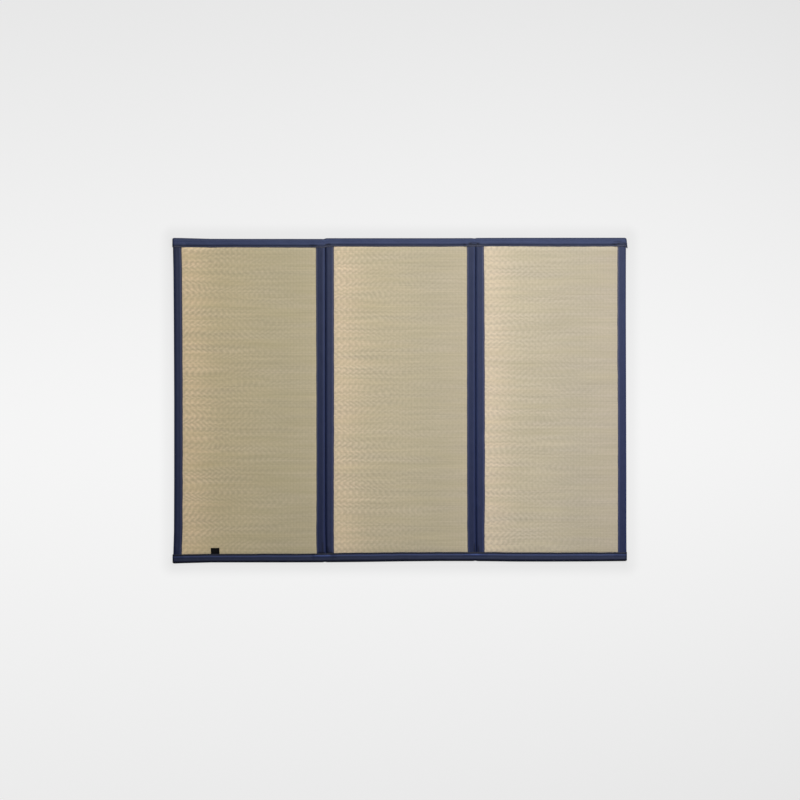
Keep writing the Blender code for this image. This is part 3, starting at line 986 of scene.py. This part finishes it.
def make_label(tapes, material):
    """Bare woven label, tucked in under the foot tape's hem and lying on the rush."""
    low, high = (np.array(corner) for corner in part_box("sewn_label"))
    foot = tapes[FOOT_TAPE]
    size_x, size_y = LABEL_WIDTH, high[1] - np.interp(low[0], foot.at, foot.sewn) + LABEL_TUCK
    u, v = np.meshgrid(np.linspace(-0.5, 0.5, LABEL_COLUMNS), np.linspace(0.0, 1.0, LABEL_ROWS))
    x = (low[0] + high[0]) / 2 + u * size_x - LABEL_TILT * v * size_y
    sewn = np.interp(x, foot.at, foot.sewn)
    y = (1 - v) * (sewn - LABEL_TUCK) + v * (high[1] + LABEL_TILT * (u - 0.5) * size_x)
    under, over = label_heights(u, v, size_x, size_y, np.maximum(y - sewn, 0.0))
    points = np.concatenate([np.stack((x, y, z), axis=-1).reshape(-1, 3) for z in (over, under)])
    rim = rim_of(np.arange(u.size).reshape(u.shape))
    walls = np.stack((rim, rim + u.size, np.roll(rim, -1) + u.size, np.roll(rim, -1)), axis=-1)
    quads = grid_quads(LABEL_ROWS, LABEL_COLUMNS, False)
    faces = quads.tolist() + (quads[:, ::-1] + u.size).tolist() + walls.tolist()
    places = np.stack((u * size_x, v * size_y), axis=-1).reshape(-1, 2)
    return mesh_object("sewn_label_cloth", points, faces, material, np.concatenate((places, places)))


class Nodes:
    """Adds nodes to one tree, with short calls for what the finishes are worked out from."""

    def __init__(self, tree):
        self.tree = tree

    def feed(self, socket, value):
        """Links another node's output to a socket, or sets the socket to a plain value."""
        if isinstance(value, bpy.types.NodeSocket):
            self.tree.links.new(value, socket)
        else:
            socket.default_value = value

    def add(self, kind, inputs=None, **settings):
        node = self.tree.nodes.new(kind)
        for name, value in settings.items():
            setattr(node, name, value)
        for name, value in (inputs or {}).items():
            self.feed(node.inputs[name], value)
        return node

    def math(self, operation, first, second=0.0, third=0.0):
        inputs = {0: first, 1: second, 2: third}
        return self.add("ShaderNodeMath", inputs, operation=operation).outputs[0]

    def times(self, first, *others):
        """Product of some values."""
        for other in others:
            first = self.math("MULTIPLY", first, other)
        return first

    def plus(self, first, second):
        return self.math("ADD", first, second)

    def minus(self, first, second):
        return self.math("SUBTRACT", first, second)

    def line(self, value, slope, start):
        """A start, plus a slope for each unit of a value."""
        return self.math("MULTIPLY_ADD", value, slope, start)

    def humps(self, place, pitch):
        """Round humps between 0 and 1, one in each pitch."""
        angle = self.times(self.math("DIVIDE", place, pitch), math.pi)
        return self.math("ABSOLUTE", self.math("SINE", angle))

    def ramp(self, value, start, end, low=0.0, high=1.0, smooth=False):
        """Value between start and end, brought to between low and high."""
        inputs = {"Value": value, "From Min": start, "From Max": end, "To Min": low, "To Max": high}
        kind = "SMOOTHSTEP" if smooth else "LINEAR"
        return self.add("ShaderNodeMapRange", inputs, interpolation_type=kind).outputs[0]

    def combine(self, x, y, z=0.0):
        return self.add("ShaderNodeCombineXYZ", {"X": x, "Y": y, "Z": z}).outputs[0]

    def split(self, vector):
        node = self.add("ShaderNodeSeparateXYZ", {"Vector": vector})
        return node.outputs["X"], node.outputs["Y"], node.outputs["Z"]

    def noise(self, vector, scale, detail=2.0, roughness=0.5):
        inputs = {"Vector": vector, "Scale": scale, "Detail": detail, "Roughness": roughness}
        return self.add("ShaderNodeTexNoise", inputs).outputs["Fac"]

    def vector_math(self, operation, inputs):
        return self.add("ShaderNodeVectorMath", inputs, operation=operation).outputs[0]

    def shade(self, colour, factor):
        """A colour made lighter or darker by a factor."""
        return self.vector_math("SCALE", {0: colour, "Scale": factor})

    def tint(self, colour, red, blue):
        """A colour with its red and its blue changed by a factor each."""
        return self.vector_math("MULTIPLY", {0: colour, 1: self.combine(red, 1.0, blue)})

    def colours(self, value, stops):
        """Colours that follow each other as a value goes from 0 to 1: places, and a colour at each."""
        node = self.add("ShaderNodeValToRGB", {"Fac": value})
        elements = node.color_ramp.elements
        elements[0].position, elements[1].position = stops[0][0], stops[-1][0]
        for place, _ in stops[1:-1]:
            elements.new(place)
        for element, (_, colour) in zip(elements, stops):
            element.color = (*colour, 1.0)
        return node.outputs["Color"]

    def place_on(self, space):
        """A point's place on its object: in metres as Object, or as shares of its box as Generated."""
        return self.add("ShaderNodeTexCoord").outputs[space]

    def place_on_cloth(self):
        """A point's place on the flat cloth, in metres."""
        return self.add("ShaderNodeUVMap", uv_map="cloth").outputs["UV"]

    def group(self, name, **inputs):
        """A shared effect, placed with its own values."""
        return self.add("ShaderNodeGroup", inputs, node_tree=bpy.data.node_groups[name]).outputs

    def fibres(self, place, fibres):
        """Fine fibres: Shade is their tone, and Fibre their height."""
        length, width, amount = fibres
        return self.group("fine fibres", Place=place, Length=length, Width=width, Amount=amount)

    def patches(self, place, patches):
        """Tone of slow patches."""
        return self.group("slow patches", Place=place, Size=patches.size, Amount=patches.amount)["Shade"]

    def weave(self, place, weave):
        """Height of a plain weave, and its painted shade: darker in the gaps than on the threads."""
        found = self.group("plain weave", Place=place, Pitch=weave.pitch, Slub=weave.slub)
        return found["Height"], self.ramp(found["Thread"], 0.0, 1.0, weave.gap_tone, weave.thread_tone)


def new_group(name, numbers, results):
    """A shader node group: a place and some numbers go in, and named values come out."""
    group = bpy.data.node_groups.new(name, "ShaderNodeTree")
    group.interface.new_socket(name="Place", in_out="INPUT", socket_type="NodeSocketVector")
    for label, value in numbers.items():
        socket = group.interface.new_socket(name=label, in_out="INPUT", socket_type="NodeSocketFloat")
        socket.default_value = value
    for label in results:
        group.interface.new_socket(name=label, in_out="OUTPUT", socket_type="NodeSocketFloat")
    nodes = Nodes(group)
    return nodes, nodes.add("NodeGroupInput").outputs, nodes.add("NodeGroupOutput").inputs


def shade_by(nodes, noise, amount):
    """A noise as a tone about 1, lighter and darker by up to an amount."""
    return nodes.line(nodes.minus(noise, 0.5), nodes.times(amount, 2.0), 1.0)


def build_slow_patches():
    """Soft patches of tone, of a given size."""
    nodes, inputs, outputs = new_group("slow patches", {"Size": 0.1, "Amount": 0.1}, ["Shade"])
    noise = nodes.noise(inputs["Place"], nodes.math("DIVIDE", 1.0, inputs["Size"]), detail=3.0)
    nodes.feed(outputs["Shade"], shade_by(nodes, noise, inputs["Amount"]))


def build_fine_fibres():
    """Fibres or streaks of a given length and width, as a tone and as a height."""
    numbers = {"Length": 0.02, "Width": 0.0003, "Amount": 0.1}
    nodes, inputs, outputs = new_group("fine fibres", numbers, ["Shade", "Fibre"])
    x, y, z = nodes.split(inputs["Place"])
    along = nodes.math("DIVIDE", x, inputs["Length"])
    across = nodes.math("DIVIDE", y, inputs["Width"])
    fibre = nodes.noise(nodes.combine(along, across, z), 1.0, roughness=0.6)
    nodes.feed(outputs["Shade"], shade_by(nodes, fibre, inputs["Amount"]))
    nodes.feed(outputs["Fibre"], fibre)


def build_plain_weave():
    """Threads that waver over and under each other: height, and 1 on a thread to 0 in a gap."""
    nodes, inputs, outputs = new_group("plain weave", {"Pitch": 0.0006, "Slub": 0.3}, ["Height", "Thread"])
    x, y, _ = nodes.split(inputs["Place"])
    waver = nodes.minus(nodes.noise(inputs["Place"], WAVERS, detail=1.0), 0.5)
    waver = nodes.times(waver, inputs["Slub"])
    angles = [
        nodes.times(nodes.plus(nodes.math("DIVIDE", place, inputs["Pitch"]), waver), math.pi)
        for place in (x, y)
    ]
    warp, weft = (nodes.math("SINE", angle) for angle in angles)
    round_warp, round_weft = (nodes.math("ABSOLUTE", nodes.math("COSINE", angle)) for angle in angles)
    threads = nodes.times(round_warp, round_weft)
    nodes.feed(outputs["Height"], nodes.plus(nodes.times(warp, weft, OVER_UNDER), threads))
    nearest = nodes.math("MINIMUM", nodes.math("ABSOLUTE", warp), nodes.math("ABSOLUTE", weft))
    nodes.feed(outputs["Thread"], nodes.ramp(nearest, 0.0, GAP_SHARE))


def build_navy_cloth():
    """The tapes' cloth: its weave, slubs and patches in a given tone, and painted light that makes it
    lighter towards the mat's head.
    """
    nodes, inputs, outputs = new_group("navy cloth", {"Tone": 1.0}, ["Shade", "Height"])
    place = inputs["Place"]
    slubs = nodes.fibres(place, TAPE_SLUBS)
    height, weave_painted_shade = nodes.weave(place, TAPE_WEAVE)
    # Painted light: lighter towards the mat's head, where more light falls on the tapes
    towards_head = nodes.split(nodes.place_on("Object"))[1]
    painted_lighter_to_head = nodes.line(towards_head, PAINTED_LIGHT_TO_HEAD, 1.0)
    patches = nodes.patches(place, TAPE_PATCHES)
    # Slubs and patches, painted shade in the weave's gaps, and painted light from the given tone and
    # towards the head
    shade = nodes.times(slubs["Shade"], patches, weave_painted_shade, inputs["Tone"], painted_lighter_to_head)
    nodes.feed(outputs["Shade"], shade)
    nodes.feed(outputs["Height"], nodes.line(slubs["Fibre"], SLUB_BUMP, height))


def new_material(name, roughness, specular=0.5):
    """A material with one Principled shader, whose plain numbers are set on its own sockets."""
    material = bpy.data.materials.new(name)
    material.use_nodes = True
    shader = material.node_tree.nodes["Principled BSDF"]
    shader.inputs["Roughness"].default_value = roughness
    shader.inputs["Specular IOR Level"].default_value = specular
    return material, Nodes(material.node_tree), shader


def add_bump(nodes, shader, height, distance, strength=1.0):
    """Fine relief that the mesh doesn't have."""
    bump = nodes.add("ShaderNodeBump", {"Height": height, "Distance": distance, "Strength": strength})
    nodes.feed(shader.inputs["Normal"], bump.outputs["Normal"])


def stretched_noise(nodes, u, v, noise):
    """Noise with patches that are longer along the stalks than across them."""
    place = nodes.combine(nodes.times(u, noise.along), nodes.times(v, noise.across), noise.layer)
    return nodes.noise(place, 1.0, noise.detail)


def rush_colour(nodes, u, v, across, stalk_tone):
    """Colour of the stalks: pinkish at the root end on the left, greener to the tip."""
    bands = stretched_noise(nodes, u, v, COLOUR_BANDS)
    reach = nodes.line(nodes.minus(stalk_tone, 0.5), STALK_LENGTHS, across)
    reach = nodes.line(nodes.minus(bands, 0.5), BAND_LENGTHS, reach)
    return nodes.colours(reach, ((0.0, ROOT_RUSH), (PALE_AT, PALE_RUSH), (TIP_AT, TIP_RUSH)))


def zigzag(nodes, u, v):
    """The zigzag in the weave, painted as highlights and shade of its floats: dashes that slant one way or
    the other, over faint rows.
    """
    drift = nodes.times(stretched_noise(nodes, u, v, ZIGZAG_DRIFT), DRIFT_TURNS)
    drift = nodes.line(stretched_noise(nodes, u, v, ZIGZAG_JOLT), JOLT_TURNS, drift)
    slip = nodes.times(stretched_noise(nodes, u, v, ZIGZAG_SLIP), SLIP_TURNS)
    turn_u = nodes.line(u, 2 * math.pi / ZIGZAG_TURN[0], slip)
    turn_v = nodes.line(v, 2 * math.pi / ZIGZAG_TURN[1], drift)
    slant = nodes.ramp(stretched_noise(nodes, u, v, ZIGZAG_SLANT), *SLANT_SPREAD)
    rising = nodes.times(nodes.math("COSINE", nodes.plus(turn_u, turn_v)), slant)
    falling = nodes.times(nodes.math("COSINE", nodes.minus(turn_u, turn_v)), nodes.minus(1.0, slant))
    rows = nodes.math("COSINE", nodes.plus(turn_v, ROWS_AHEAD))
    return nodes.line(nodes.plus(rising, falling), ZIGZAG_DASHES, nodes.times(rows, ZIGZAG_ROWS))


def zigzag_tone(nodes, u, v, across, mat_x, tone_bands):
    """The zigzag's painted highlights and shade as a tone about 1: stronger in patches, and fainter to the
    right of each panel and of the mat.
    """
    strength = nodes.line(nodes.minus(ZIGZAG_END, across), ZIGZAG_MORE, ZIGZAG_LEAST)
    strength = nodes.times(strength, nodes.line(mat_x, ZIGZAG_RIGHTWARD, ZIGZAG_MIDDLE))
    clumps = nodes.ramp(tone_bands, *ZIGZAG_SPREAD)
    return nodes.line(nodes.times(zigzag(nodes, u, v), clumps), strength, 1.0)


def rush_finish():
    """Soft rush, woven: every stalk its own tone, with streaks and flecks, and painted light and shade: a
    faint zigzag, lighter places over the mat, and darker grooves.
    """
    material, nodes, shader = new_material("rush_woven", roughness=0.62, specular=0.45)
    place = nodes.place_on_cloth()
    u, v, _ = nodes.split(place)
    across = nodes.split(nodes.place_on("Generated"))[0]
    mat_x, mat_y, _ = nodes.split(nodes.place_on("Object"))
    stalk = {"W": nodes.math("FLOOR", nodes.math("DIVIDE", v, ROW))}
    stalk_tone = nodes.add("ShaderNodeTexWhiteNoise", stalk, noise_dimensions="1D").outputs["Value"]
    tone_bands = stretched_noise(nodes, u, v, TONE_BANDS)
    fibres = nodes.fibres(place, RUSH_FIBRES)
    bulge = nodes.humps(v, ROW)
    # The stalks' own tones, fibres and patches, with painted light and shade: lighter by the head tape, the
    # left end and the foot's right corner, darker between stalks and at warps, and the zigzag
    shade = nodes.times(
        nodes.ramp(stalk_tone, 0.0, 1.0, *STALK_TONES),
        nodes.ramp(mat_y, *PAINTED_LIGHT_BY_HEAD),
        nodes.ramp(mat_x, *PAINTED_LIGHT_BY_LEFT),
        nodes.ramp(nodes.minus(mat_x, mat_y), *PAINTED_LIGHT_BY_CORNER),
        fibres["Shade"],
        nodes.patches(place, RUSH_PATCHES),
        nodes.fibres(place, RUSH_STREAKS)["Shade"],
        nodes.fibres(place, RUSH_CLUMPS)["Shade"],
        nodes.fibres(place, RUSH_FLECKS)["Shade"],
        # Painted shade between the stalks and at the warps
        nodes.ramp(bulge, *PAINTED_SHADE_BETWEEN_STALKS),
        nodes.ramp(nodes.humps(u, COLUMN), *PAINTED_SHADE_AT_WARPS),
        # Painted highlights and shade of the floats, as a zigzag
        zigzag_tone(nodes, u, v, across, mat_x, tone_bands),
    )
    to_right = nodes.line(mat_x, REDDER_TO_RIGHT, REDDER_ACROSS)
    red = nodes.line(nodes.minus(across, 0.5), to_right, nodes.line(mat_x, -LESS_RED, 1.0))
    blue = nodes.times(nodes.line(mat_x, BLUER, 1.0), nodes.line(tone_bands, *BLUE_BANDS))
    tinted = nodes.tint(rush_colour(nodes, u, v, across, stalk_tone), red, blue)
    nodes.feed(shader.inputs["Base Color"], nodes.shade(tinted, shade))
    height = nodes.line(fibres["Fibre"], STALK_BUMP, bulge)
    add_bump(nodes, shader, height, distance=0.00030, strength=0.9)
    return material


def painted_light_across(nodes, section, tones):
    """Painted light and shade across a tape: tones that follow each other, halved so that they fit in a
    colour ramp.
    """
    low, high = tones[0].distance / 1000, tones[-1].distance / 1000
    stops = [((tone.distance / 1000 - low) / (high - low), (tone.tone / 2,) * 3) for tone in tones]
    return nodes.colours(nodes.ramp(section, low, high), stops)


def tape_finish(name, tones, greyer_hem_to, painted_light_rightward, painted_sheen_less_blue=PAINTED_SHEEN_LESS_BLUE):
    """Navy plain-weave cotton tape, matt, and greyer at its hem.

    Its painted light and shade across it grow by a given share for each metre to the right, where the light
    is stronger. Creases stand out from them with painted shade in troughs and painted highlights on ridges,
    and beyond a given distance from the seam the cloth has its full colour instead of the hem's greyer one.
    """
    material, nodes, shader = new_material(name, roughness=0.62, specular=0.24)
    place = nodes.place_on_cloth()
    section = nodes.split(place)[1]
    mat_x, mat_y, _ = nodes.split(nodes.place_on("Object"))
    # Painted light: the tape grows lighter for each metre to the right, where the light on it is stronger
    to_right = nodes.line(mat_x, 2 * painted_light_rightward, 2.0)
    # Painted shade in crease troughs and painted highlights on crease ridges
    crease = nodes.add("ShaderNodeAttribute", attribute_name="crease").outputs["Fac"]
    ridge_highlight = nodes.times(nodes.math("MAXIMUM", crease, 0.0), RIDGE_PAINTED_HIGHLIGHT)
    trough_shade = nodes.times(nodes.math("MINIMUM", crease, 0.0), TROUGH_PAINTED_SHADE)
    crease_light_and_shade = nodes.math("EXPONENT", nodes.plus(ridge_highlight, trough_shade))
    # Painted light and shade across the tape, stronger to the right, with the creases' painted shade and
    # highlights
    tone = nodes.times(painted_light_across(nodes, section, tones), to_right, crease_light_and_shade)
    cloth = nodes.group("navy cloth", Place=place, Tone=tone)
    # The hem is a greyer navy than the rest of the tape
    at_hem = nodes.ramp(section, greyer_hem_to, greyer_hem_to + GREYER_HEM_OVER, 1.0, 0.0)
    cloth_colour = nodes.colours(at_hem, ((0.0, NAVY), (1.0, GREYER_HEM_NAVY)))
    # Painted sheen: redder and less blue towards the head, where more sheen falls
    tinted = nodes.tint(cloth_colour, nodes.line(mat_y, PAINTED_SHEEN_REDDER, 1.0), nodes.line(mat_y, -painted_sheen_less_blue, 1.0))
    nodes.feed(shader.inputs["Base Color"], nodes.shade(tinted, cloth["Shade"]))
    add_bump(nodes, shader, cloth["Height"], distance=0.00012, strength=0.8)
    return material


def thread_finish():
    """Twisted navy sewing thread."""
    material, nodes, shader = new_material("navy_thread", roughness=0.5)
    twist = nodes.fibres(nodes.place_on("Object"), THREAD_TWIST)
    nodes.feed(shader.inputs["Base Color"], nodes.shade(THREAD_NAVY, twist["Shade"]))
    add_bump(nodes, shader, twist["Fibre"], distance=0.00006)
    return material


def label_finish():
    """Black woven label cloth, finer than the tape and a little smoother."""
    material, nodes, shader = new_material("label_black", roughness=0.55, specular=0.15)
    place = nodes.place_on_cloth()
    height, weave_painted_shade = nodes.weave(place, LABEL_WEAVE)
    # Patches, and painted shade in the weave's gaps
    shade = nodes.times(nodes.patches(place, LABEL_PATCHES), weave_painted_shade)
    nodes.feed(shader.inputs["Base Color"], nodes.shade(LABEL_BLACK, shade))
    add_bump(nodes, shader, height, distance=0.00008, strength=0.8)
    return material


def backing_finish():
    """Plain undyed backing cloth under the slabs."""
    material, nodes, shader = new_material("backing_plain", roughness=0.85)
    place = nodes.place_on("Object")
    height, weave_painted_shade = nodes.weave(place, BACKING_WEAVE)
    slubs = nodes.fibres(place, BACKING_SLUBS)["Shade"]
    # Patches, painted shade in the weave's gaps, and slubs
    shade = nodes.times(nodes.patches(place, BACKING_PATCHES), weave_painted_shade, slubs)
    nodes.feed(shader.inputs["Base Color"], nodes.shade(BACKING, shade))
    add_bump(nodes, shader, height, distance=0.00015, strength=0.8)
    return material


def floor_glow(nodes, x, y):
    """Glow of the floor: less where the lights reach it, dimmed by the mat, and none in its folds."""
    off_middle = nodes.minus(y, GLOW_MIDDLE)
    far = nodes.math("SQRT", nodes.line(off_middle, off_middle, GLOW_ROUNDING))
    lit = nodes.line(y, LIT_TO_HEAD, nodes.line(x, LIT_TO_RIGHT, 1.0))
    glow = nodes.minus(nodes.line(far, GLOW_FALL, GLOW_MOST), nodes.times(lit, FLOOR_GREY))
    glow = nodes.math("MAXIMUM", glow, GLOW_LEAST)
    from_x, from_y = (nodes.math("ABSOLUTE", place) for place in (x, y))
    away_x = nodes.math("MAXIMUM", nodes.minus(from_x, MAT_HALF[0]), 0.0)
    away_y = nodes.math("MAXIMUM", nodes.minus(from_y, MAT_HALF[1]), 0.0)
    away = nodes.math("SQRT", nodes.plus(nodes.times(away_x, away_x), nodes.times(away_y, away_y)))
    near = nodes.ramp(away, SHADE_START, SHADE_REACH, SHADE_DEPTH, 0.0, smooth=True)
    glow = nodes.times(glow, nodes.minus(1.0, near))
    # No glow under the mat, so the fold gaps show painted shade
    past_x, past_y = nodes.minus(from_x, FOLDS_HALF[0]), nodes.minus(from_y, FOLDS_HALF[1])
    past_folds = nodes.math("GREATER_THAN", nodes.math("MAXIMUM", past_x, past_y), 0.0)
    return nodes.times(past_folds, glow)


def floor_finish():
    """Pale studio floor, which glows softly to the camera and only dimly to the mat."""
    material, nodes, shader = new_material("studio_floor", roughness=1.0, specular=0.0)
    shader.inputs["Base Color"].default_value = (FLOOR_GREY, FLOOR_GREY, FLOOR_GREY, 1.0)
    shader.inputs["Emission Color"].default_value = (1.0, 1.0, 1.0, 1.0)
    x, y, _ = nodes.split(nodes.place_on("Object"))
    to_camera = nodes.add("ShaderNodeLightPath").outputs["Is Camera Ray"]
    glow = nodes.times(to_camera, floor_glow(nodes, x, y))
    to_mat = nodes.times(nodes.minus(1.0, to_camera), FLOOR_BOUNCE)
    nodes.feed(shader.inputs["Emission Strength"], nodes.plus(glow, to_mat))
    return material


def make_floor():
    """A wide floor just under the mat."""
    bpy.ops.mesh.primitive_plane_add(size=FLOOR_SIZE, location=(0.0, 0.0, -FLOOR_BELOW))
    floor = bpy.context.object
    floor.name = "studio_floor"
    floor.data.materials.append(floor_finish())


def add_area_light(name, place, size, power):
    """Soft square light, aimed at the middle of the mat."""
    data = bpy.data.lights.new(name, "AREA")
    data.shape = "SQUARE"
    data.size = size
    data.energy = power
    light = bpy.data.objects.new(name, data)
    light.location = place
    light.rotation_euler = (-light.location).to_track_quat("-Z", "Y").to_euler()
    light.visible_camera = False
    bpy.context.scene.collection.objects.link(light)


def make_studio():
    """Camera straight above the mat, a light high on the right, one far behind the head, and soft fill."""
    scene = bpy.context.scene
    camera = bpy.data.objects.new("camera_above", bpy.data.cameras.new("camera_above"))
    camera.data.sensor_width = SENSOR
    camera.data.lens = SENSOR * CAMERA_HEIGHT / VIEW_WIDTH
    camera.data.clip_end = FARTHEST
    camera.location = (*VIEW_CENTRE, CAMERA_HEIGHT + VIEW_PLANE)
    scene.collection.objects.link(camera)
    scene.camera = camera
    for light in LIGHTS:
        add_area_light(*light)
    world = bpy.data.worlds.new("studio")
    scene.world = world
    world.use_nodes = True
    background = world.node_tree.nodes["Background"]
    background.inputs["Color"].default_value = (1.0, 1.0, 1.0, 1.0)
    background.inputs["Strength"].default_value = AMBIENT
    scene.view_settings.view_transform = "Standard"


def lay_panels(lines):
    """Each panel's woven rush facing, laid on its firm slab."""
    rush, backing = rush_finish(), backing_finish()
    for panel, side in enumerate(PANELS):
        node = f"rush_panel_{side}"
        facing = make_facing(panel, lines, rush)
        slab = make_slab(panel, lines, backing)
        for piece in (facing, slab):
            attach(piece, "root")
            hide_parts(node)


def sew_tapes(lines):
    """Each binding's tape, folded round the slabs' edges, and its two rows of stitches."""
    long_navy = tape_finish("navy_long_tape", LONG_PAINTED_LIGHT, greyer_hem_to=0.0005, painted_light_rightward=0.16)
    head_navy = tape_finish("navy_head_tape", HEAD_PAINTED_LIGHT, greyer_hem_to=-0.0040, painted_light_rightward=0.0)
    foot_navy = tape_finish("navy_foot_tape", FOOT_PAINTED_LIGHT, greyer_hem_to=-0.0035, painted_light_rightward=0.10, painted_sheen_less_blue=0.08)
    cloths = {HEAD_TAPE: head_navy, FOOT_TAPE: foot_navy}
    thread = thread_finish()
    for name in TAPES:
        tape, seam, under_seam = make_tape(name, lines, cloths.get(name, long_navy))
        stitches = make_stitches(name, ((seam, 1.0), (under_seam, -1.0)), thread)
        for piece in (tape, stitches):
            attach(piece, "root")
        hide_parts(name)


def sew_in_label(lines):
    """The bare label, tucked in at the foot tape of the left panel."""
    label = make_label(lines, label_finish())
    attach(label, "root")
    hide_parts("sewn_label")


def main():
    build_slow_patches()
    build_fine_fibres()
    build_plain_weave()
    build_navy_cloth()
    lines = {name: read_tape(name) for name in TAPES}
    lay_panels(lines)
    sew_tapes(lines)
    sew_in_label(lines)
    make_floor()
    make_studio()


main()
